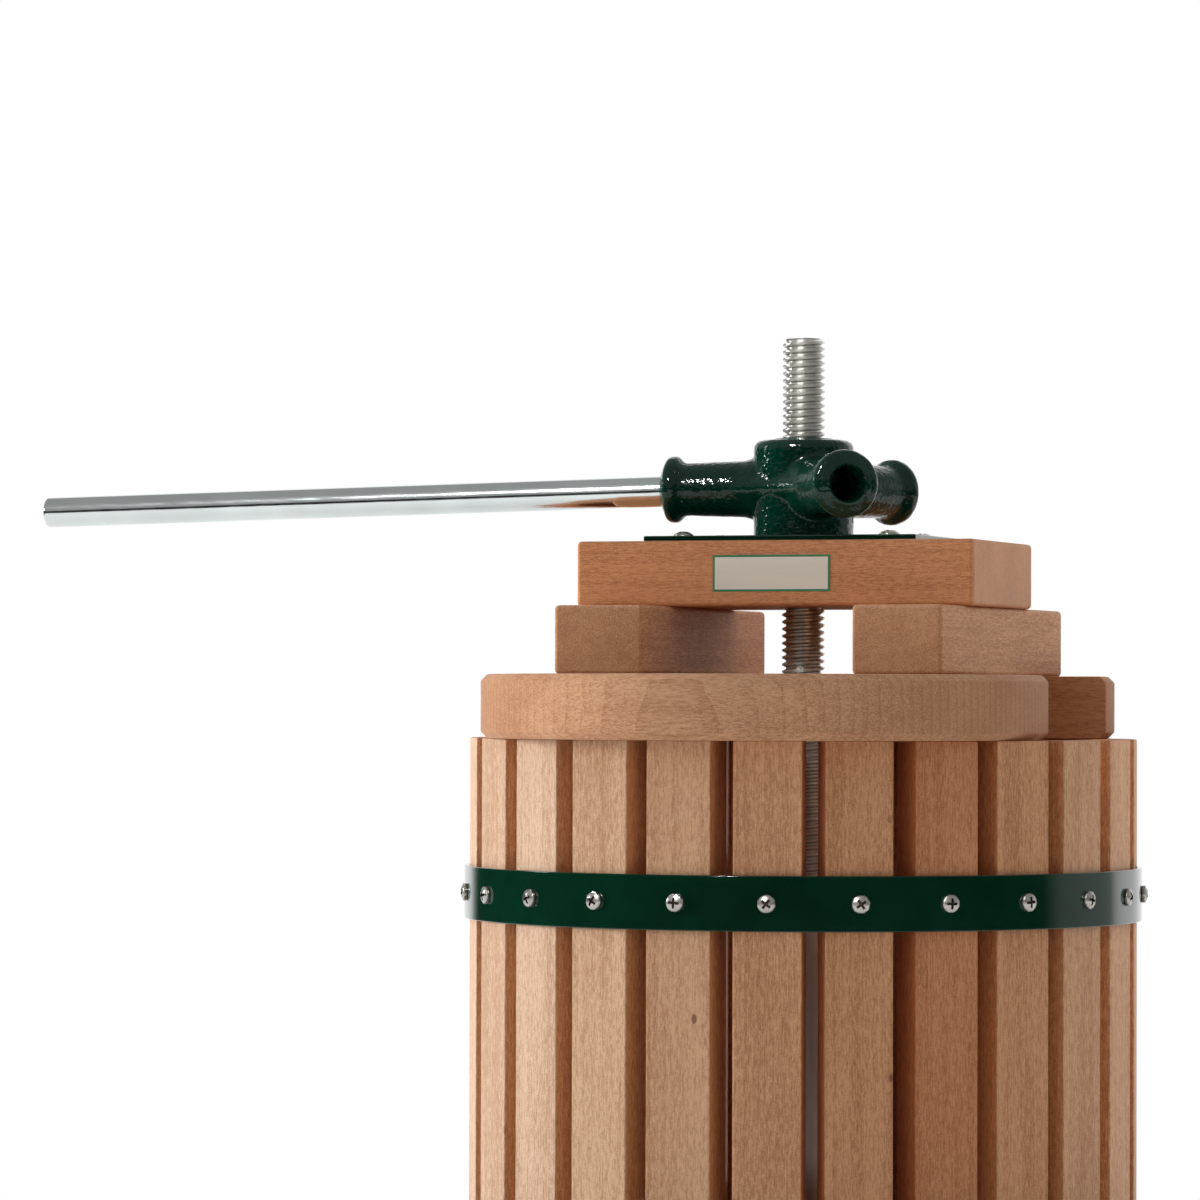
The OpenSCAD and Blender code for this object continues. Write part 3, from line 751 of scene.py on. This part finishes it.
def screw_group(template, seats, name, body, node, rng):
    """The screws of one node, each turned in at its own angle."""
    group = joined([placed(template, where, out, rng.uniform(0, pi / 2)) for where, out in seats])
    finished(group, name, body, [screw_steel, recess_painted_shade], node, flats=False)


def hoop_seats(node):
    """Where a hoop has its screws, one over each slat, and which way they look."""
    low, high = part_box(node)
    r = (high.x - low.x) / 2 - SCREW_SINK
    middle = Vector((0, 0, (low.z + high.z) / 2))
    outs = [outward(FIRST_SLAT + i * SLAT_STEP) for i in range(SLAT_COUNT)]
    return [(out * r + middle, out) for out in outs]


def plate_seats():
    """Where the plate has its four screws."""
    corners = [(x, y) for x in (-PLATE_SCREW_X, PLATE_SCREW_X) for y in (-PLATE_SCREW_Y, PLATE_SCREW_Y)]
    return [(Vector((x, y, PLATE_HIGH.z)), (0, 0, 1)) for x, y in corners]


def screws():
    """The screws of both hoops and of the plate."""
    rng = random.Random(7)
    template = screw(HOOP_SCREW)
    for node in ("upper_hoop", "lower_hoop"):
        screw_group(template, hoop_seats(node), node + "_screw_heads", "basket", node + "_screws", rng)
    bpy.data.objects.remove(template)
    template = screw(PLATE_SCREW)
    screw_group(template, plate_seats(), "plate_screw_heads", "pressing_board", "plate_screws", rng)
    bpy.data.objects.remove(template)


# Casting, bar and spindle

def socket_rod(angle, r, start, end):
    """A cylinder along a socket, between two distances from the spindle's axis."""
    middle = outward(angle) * (start + end) / 2 + Vector((0, 0, SOCKET_Z))
    bpy.ops.mesh.primitive_cylinder_add(
        vertices=64, radius=r, depth=end - start, location=middle, rotation=(0, pi / 2, angle)
    )
    return added()


def socket_mouth(angle):
    """The flared edge of a socket's bore."""
    middle = outward(angle) * (SOCKET_MOUTH - SOCKET_EASE / 2) + Vector((0, 0, SOCKET_Z))
    bpy.ops.mesh.primitive_cone_add(
        vertices=64, radius1=SOCKET_R - SOCKET_EASE, radius2=SOCKET_R + 2 * SOCKET_EASE,
        depth=3 * SOCKET_EASE, location=middle, rotation=(0, pi / 2, angle),
    )
    return added()


def cast_head():
    """The casting with soft corners where its sockets grow out of the hub, and with bored holes."""
    low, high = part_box("press_head")
    plugs = [cylinder(SPINDLE_R + SPINDLE_PLUG_GROW, low.z, high.z)]
    plug_r, plug_start = SOCKET_R + SOCKET_PLUG_GROW, SOCKET_FLOOR - SOCKET_PLUG_DEEPER
    plugs += [socket_rod(angle, plug_r, plug_start, SOCKET_MOUTH) for angle in SOCKET_ANGLES]
    obj = joined([from_node("press_head"), *plugs])
    modify(obj, "REMESH", mode="VOXEL", voxel_size=CAST_VOXEL)
    modify(obj, "SMOOTH", factor=0.5, iterations=CAST_SMOOTH_PASSES)
    texture = bpy.data.textures.new("casting_lumps", "CLOUDS")
    texture.noise_scale = LUMP_SIZE
    texture.noise_depth = LUMP_DETAIL
    modify(obj, "DISPLACE", texture=texture, strength=LUMP_HEIGHT, mid_level=0.5, texture_coords="GLOBAL")
    bores = [cylinder(SPINDLE_R + BORE_SLACK, low.z - BORE_PAST_HUB, high.z + BORE_PAST_HUB)]
    bore_end = SOCKET_MOUTH + BORE_PAST_SOCKET
    bores += [socket_rod(angle, SOCKET_R, SOCKET_FLOOR, bore_end) for angle in SOCKET_ANGLES]
    bores += [socket_mouth(angle) for angle in SOCKET_ANGLES]
    cut(obj, *bores)
    finished(
        obj, "cast_head", "head", [cast_enamel], "press_head",
        CAST_SMOOTH_LIMIT, flats=False,
    )


def bar():
    """The loose bar, along the way it is pulled out."""
    low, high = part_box("handle_bar")
    axis = Vector(next(j["axis"] for j in frame["joints"] if j["name"] == "bar_pull")).normalized()
    across = 2 * BAR_R * (1 - axis.x ** 2) ** 0.5
    length = ((high.x - low.x) - across) / abs(axis.x)
    bpy.ops.mesh.primitive_cylinder_add(vertices=96, radius=BAR_R, depth=length)
    obj = rounded(added(), BAR_EDGE, segments=4, angle=SQUARE_LIMIT)
    obj.data.transform(Matrix.Translation((low + high) / 2) @ facing(axis))
    finished(obj, "polished_bar", "bar", [bar_steel], "handle_bar")


def wound_grid(low, high):
    """The thread's skin between two heights and somewhat past them, a grid wound round the axis."""
    points = len(THREAD_FORM)
    turns = int((high - low) / THREAD_PITCH) + 2 * THREAD_SPARE_TURNS
    start = low - THREAD_SPARE_TURNS * THREAD_PITCH
    bpy.ops.mesh.primitive_grid_add(x_subdivisions=points * turns, y_subdivisions=THREAD_STEPS, size=1)
    obj = added()
    # Painted shade on the root and the downward flank of each turn
    painted_groove_shade = obj.data.attributes.new("painted_groove_shade", "FLOAT", "POINT")
    for vertex in obj.data.vertices:
        row = round((vertex.co.x + 0.5) * points * turns)
        step = round((vertex.co.y + 0.5) * THREAD_STEPS)
        share, deep, painted_groove_shade.data[vertex.index].value = THREAD_FORM[row % points]
        radius = SPINDLE_R - deep * THREAD_DEPTH
        angle = 2 * pi * step / THREAD_STEPS
        height = start + (row // points + share + step / THREAD_STEPS) * THREAD_PITCH
        vertex.co = (radius * cos(angle), radius * sin(angle), height)
    return obj


def thread(low, high):
    """A right hand thread between two heights, with its top end chamfered."""
    obj = wound_grid(low, high)
    with editing(obj):
        bpy.ops.mesh.remove_doubles(threshold=MERGE)
        for height, out in ((high, 1), (low, -1)):
            bpy.ops.mesh.select_all(action="SELECT")
            bpy.ops.mesh.bisect(
                plane_co=(0, 0, height), plane_no=(0, 0, out), threshold=ON_CUT,
                use_fill=True, clear_outer=True,
            )
        bpy.ops.mesh.select_all(action="SELECT")
        bpy.ops.mesh.normals_make_consistent(inside=False)
    for vertex in obj.data.vertices:
        limit = SPINDLE_R - SPINDLE_CHAMFER + (high - vertex.co.z)
        away = vertex.co.xy.length
        if away > limit > 0:
            vertex.co.x *= limit / away
            vertex.co.y *= limit / away
    return obj


def spindle():
    """The spindle: its thread, the plain shank under it and the collar that stands on the seal."""
    thread_low = RIM - THREAD_END_UNDER_RIM
    collar_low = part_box("spindle_seal")[1].z
    shank = cylinder(SPINDLE_R, SPINDLE_LOW.z, thread_low)
    rounded(shank, SPINDLE_EDGE, segments=2, angle=SQUARE_LIMIT)
    collar = cylinder(COLLAR_R, collar_low, collar_low + COLLAR_H)
    rounded(collar, SPINDLE_EDGE, angle=SQUARE_LIMIT)
    obj = joined([thread(thread_low - THREAD_OVERLAP, SPINDLE_HIGH.z), shank, collar])
    finished(
        obj, "threaded_spindle", "stand", [thread_steel], "spindle",
        THREAD_SMOOTH_LIMIT, flats=False,
    )


# Label, a cream field with a plain green border

def label():
    """The label on the board's front edge, with a border all round its front face."""
    low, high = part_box("label")
    obj = cuboid(low, high)
    with editing(obj):
        bpy.ops.mesh.select_mode(type="FACE")
        bpy.ops.mesh.select_all(action="DESELECT")
    front = min(obj.data.polygons, key=lambda face: face.normal.y)
    front.select = True
    with editing(obj, everything=False):
        bpy.ops.mesh.inset(thickness=LABEL_BORDER)
    for face in obj.data.polygons:
        to_side = min(face.center.x - low.x, high.x - face.center.x)
        to_foot = min(face.center.z - low.z, high.z - face.center.z)
        is_field = min(to_side, to_foot) > LABEL_BORDER and face.normal.y < 0
        face.material_index = 0 if is_field else 1
    finished(obj, "blank_label", "pressing_board", [label_cream, label_green], "label")


# Tray, stand and their fasteners, from the solids

def stand():
    """Everything under the basket, with its edges rounded."""
    for edges, slot, material in (
        (PAINTED_EDGES, "green_sheet", sheet_enamel),
        (PLAIN_EDGES, "turned_steel", screw_steel),
        (SEAL_EDGES, "seal_rubber", seal_rubber),
    ):
        for node, width in edges.items():
            finished(from_node(node, width), node + "_finished", "stand", [material], node)


for number in range(SLAT_COUNT):
    slat(number)
half_disc("half_disc_front", "front_half", 1, disc_beech)
half_disc("half_disc_rear", "rear_half", -1, rear_disc_beech_painted_shade)
block("left_block", "left_bearer", BLOCK_TURN)
block("right_block", "right_bearer", -BLOCK_TURN)
board()
hoop("upper_hoop")
hoop("lower_hoop")
plate()
screws()
cast_head()
bar()
spindle()
label()
stand()


# Camera at the photograph's viewing angle

PICTURE = 1200
FOCAL_PIXELS = 5317
CAMERA_AZIMUTH = radians(17.5)
CAMERA_DISTANCE = 2.250
CAMERA_OVER_RIM = 0.0159
AXIS_PIXEL = 803.5
HORIZON_PIXEL = 700
CAMERA_ROLL = 0.003
SENSOR = 36
CLIP_END = 40


def camera():
    """The camera before the press and a little over its rim, turned and rolled as in the photo."""
    away = Vector((sin(CAMERA_AZIMUTH), -cos(CAMERA_AZIMUTH), 0))
    spot = away * CAMERA_DISTANCE + Vector((0, 0, RIM + CAMERA_OVER_RIM))
    yaw = atan((AXIS_PIXEL - PICTURE / 2) / FOCAL_PIXELS)
    pitch = atan((HORIZON_PIXEL - PICTURE / 2) / FOCAL_PIXELS)
    level = Matrix.Rotation(yaw, 3, "Z") @ -away
    forward = (level * cos(pitch) + Vector((0, 0, sin(pitch)))).normalized()
    across = forward.cross(Vector((0, 0, 1))).normalized()
    above = across.cross(forward)
    right = across * cos(CAMERA_ROLL) + above * sin(CAMERA_ROLL)
    up = above * cos(CAMERA_ROLL) - across * sin(CAMERA_ROLL)
    bpy.ops.object.select_all(action="DESELECT")
    bpy.ops.object.camera_add(location=spot)
    made = bpy.context.object
    made.matrix_world = Matrix.Translation(spot) @ Matrix((right, up, -forward)).transposed().to_4x4()
    made.data.sensor_width = SENSOR
    made.data.lens = FOCAL_PIXELS / PICTURE * SENSOR
    made.data.clip_end = CLIP_END
    bpy.context.scene.camera = made


# Floor, world and lamps, with distances in metres from the spindle's axis and levels as shares of white.
# The ceiling's low and high are heights on a ball of directions, where 0 is level and 1 straight up.

FLOOR_R = 14
FLOOR_WHITE = (0.86, 0.86, 0.86, 1)
FLOOR_FADE_START = 0.35
FLOOR_FADE_END = 1.5
FLOOR_GLOSS_START = 2.5
FLOOR_GLOSS_END = 4.5
ROOM_LIGHT = 0.415
ROOM_GLOSS = 0.006
ROOM_TURN = 0.5
BACKDROP_LIGHT = 1.15
BACKDROP_MIDDLE = radians(97)
BACKDROP_HALF = radians(42)
BACKDROP_FADE = radians(9)
WALL_MIDDLE = radians(42)
WALL_HALF = radians(24)
WALL_FADE = radians(7)
WALL_GLOSS = 0.38
CEILING_GLOSS = 0.33
CEILING_LOW = 0.09
CEILING_HIGH = 0.17


def dot_product(tree, a, b):
    """How far two directions agree."""
    return linked(tree, "ShaderNodeVectorMath", {0: a, 1: b}, operation="DOT_PRODUCT").outputs["Value"]


def rays(tree, *kinds):
    """1 for rays of these kinds, and 0 for all others."""
    path = linked(tree, "ShaderNodeLightPath").outputs
    total = path[kinds[0]]
    for kind in kinds[1:]:
        total = maths(tree, "ADD", total, path[kind], True)
    return total


def sector(tree, direction, middle, half, fade):
    """1 for a direction inside a sector of the room, seen from above, and 0 outside it."""
    towards = dot_product(tree, direction, outward(middle))
    return spread(tree, towards, cos(half + fade), cos(half - fade))


def bright_walls(tree, direction):
    """How bright the white backdrop and the grey wall beside it look in gloss, in a direction."""
    white = sector(tree, direction, BACKDROP_MIDDLE, BACKDROP_HALF, BACKDROP_FADE)
    grey = maths(tree, "MULTIPLY", sector(tree, direction, WALL_MIDDLE, WALL_HALF, WALL_FADE), WALL_GLOSS)
    return maths(tree, "MAXIMUM", white, grey)


def floor_paint():
    """A pale floor that runs out into white, and in gloss into the dark room before the press."""
    material = bpy.data.materials.new("studio_floor")
    material.use_nodes = True
    tree = material.node_tree
    tree.nodes.clear()
    paint = linked(tree, "ShaderNodeBsdfDiffuse", {"Color": FLOOR_WHITE}).outputs[0]
    place = own_place(tree)
    away = linked(tree, "ShaderNodeVectorMath", {0: place}, operation="LENGTH").outputs["Value"]
    direction = linked(tree, "ShaderNodeVectorMath", {0: place}, operation="NORMALIZE").outputs[0]
    front = between(tree, spread(tree, away, FLOOR_GLOSS_START, FLOOR_GLOSS_END), 1.0, ROOM_GLOSS)
    gloss = between(tree, bright_walls(tree, direction), front, 1.0)
    level = between(tree, rays(tree, "Is Camera Ray", "Is Transmission Ray"), gloss, 1.0)
    white = linked(tree, "ShaderNodeEmission", {"Color": WHITE, "Strength": level}).outputs[0]
    seen = rays(tree, "Is Camera Ray", "Is Transmission Ray", "Is Glossy Ray")
    amount = maths(tree, "MULTIPLY", spread(tree, away, FLOOR_FADE_START, FLOOR_FADE_END), seen)
    both = linked(tree, "ShaderNodeMixShader", {0: amount, 1: paint, 2: white}).outputs[0]
    linked(tree, "ShaderNodeOutputMaterial", {0: both})
    return material


def floor():
    """A round floor under the feet."""
    bpy.ops.mesh.primitive_circle_add(vertices=96, radius=FLOOR_R, fill_type="NGON", location=(0, 0, 0))
    obj = added()
    obj.name = "studio_floor"
    obj.data.materials.append(floor_paint())


def world():
    """A white backdrop behind the press and a darker room in front of it, as plain soft light."""
    made = bpy.data.worlds.new("studio")
    bpy.context.scene.world = made
    made.use_nodes = True
    tree = made.node_tree
    tree.nodes.clear()
    look = linked(tree, "ShaderNodeTexCoord").outputs["Generated"]
    behind = (-sin(CAMERA_AZIMUTH), cos(CAMERA_AZIMUTH), 0)
    back = spread(tree, dot_product(tree, look, behind), -ROOM_TURN, ROOM_TURN)
    soft = between(tree, back, ROOM_LIGHT, BACKDROP_LIGHT)
    height = linked(tree, "ShaderNodeSeparateXYZ", {0: look}).outputs["Z"]
    dark = between(tree, spread(tree, height, CEILING_LOW, CEILING_HIGH), ROOM_GLOSS, CEILING_GLOSS)
    gloss = between(tree, bright_walls(tree, look), dark, 1.0)
    level = between(tree, rays(tree, "Is Glossy Ray"), soft, gloss)
    strength = between(tree, rays(tree, "Is Camera Ray", "Is Transmission Ray"), level, 1.0)
    shade = linked(tree, "ShaderNodeBackground", {"Color": WHITE, "Strength": strength}).outputs[0]
    linked(tree, "ShaderNodeOutputWorld", {0: shade})


def lamp(name, where, target, size, power):
    """A soft rectangular lamp that looks at a target."""
    bpy.ops.object.select_all(action="DESELECT")
    bpy.ops.object.light_add(type="AREA", location=where)
    made = bpy.context.object
    made.name = name
    made.data.shape = "RECTANGLE"
    made.data.size, made.data.size_y = size
    made.data.energy = power
    look = (Vector(target) - Vector(where)).to_track_quat("-Z", "Y")
    made.rotation_euler = look.to_euler()
    return made


camera()
floor()
world()
key = lamp("key", where=(-3.25, -0.40, 0.84), target=(0, 0, 0.36), size=(1.3, 0.6), power=100)
glint = lamp("glint", where=(-0.32, -1.83, 1.70), target=(0, 0, 0.5), size=(0.3, 0.1), power=42)
side_glint = lamp("side_glint", where=(-3.17, -0.39, 1.10), target=(0, 0, 0.5), size=(0.4, 0.25), power=14)
key.visible_glossy = False
glint.visible_diffuse = False
side_glint.visible_diffuse = False

scene = bpy.context.scene
scene.view_settings.view_transform = "Standard"
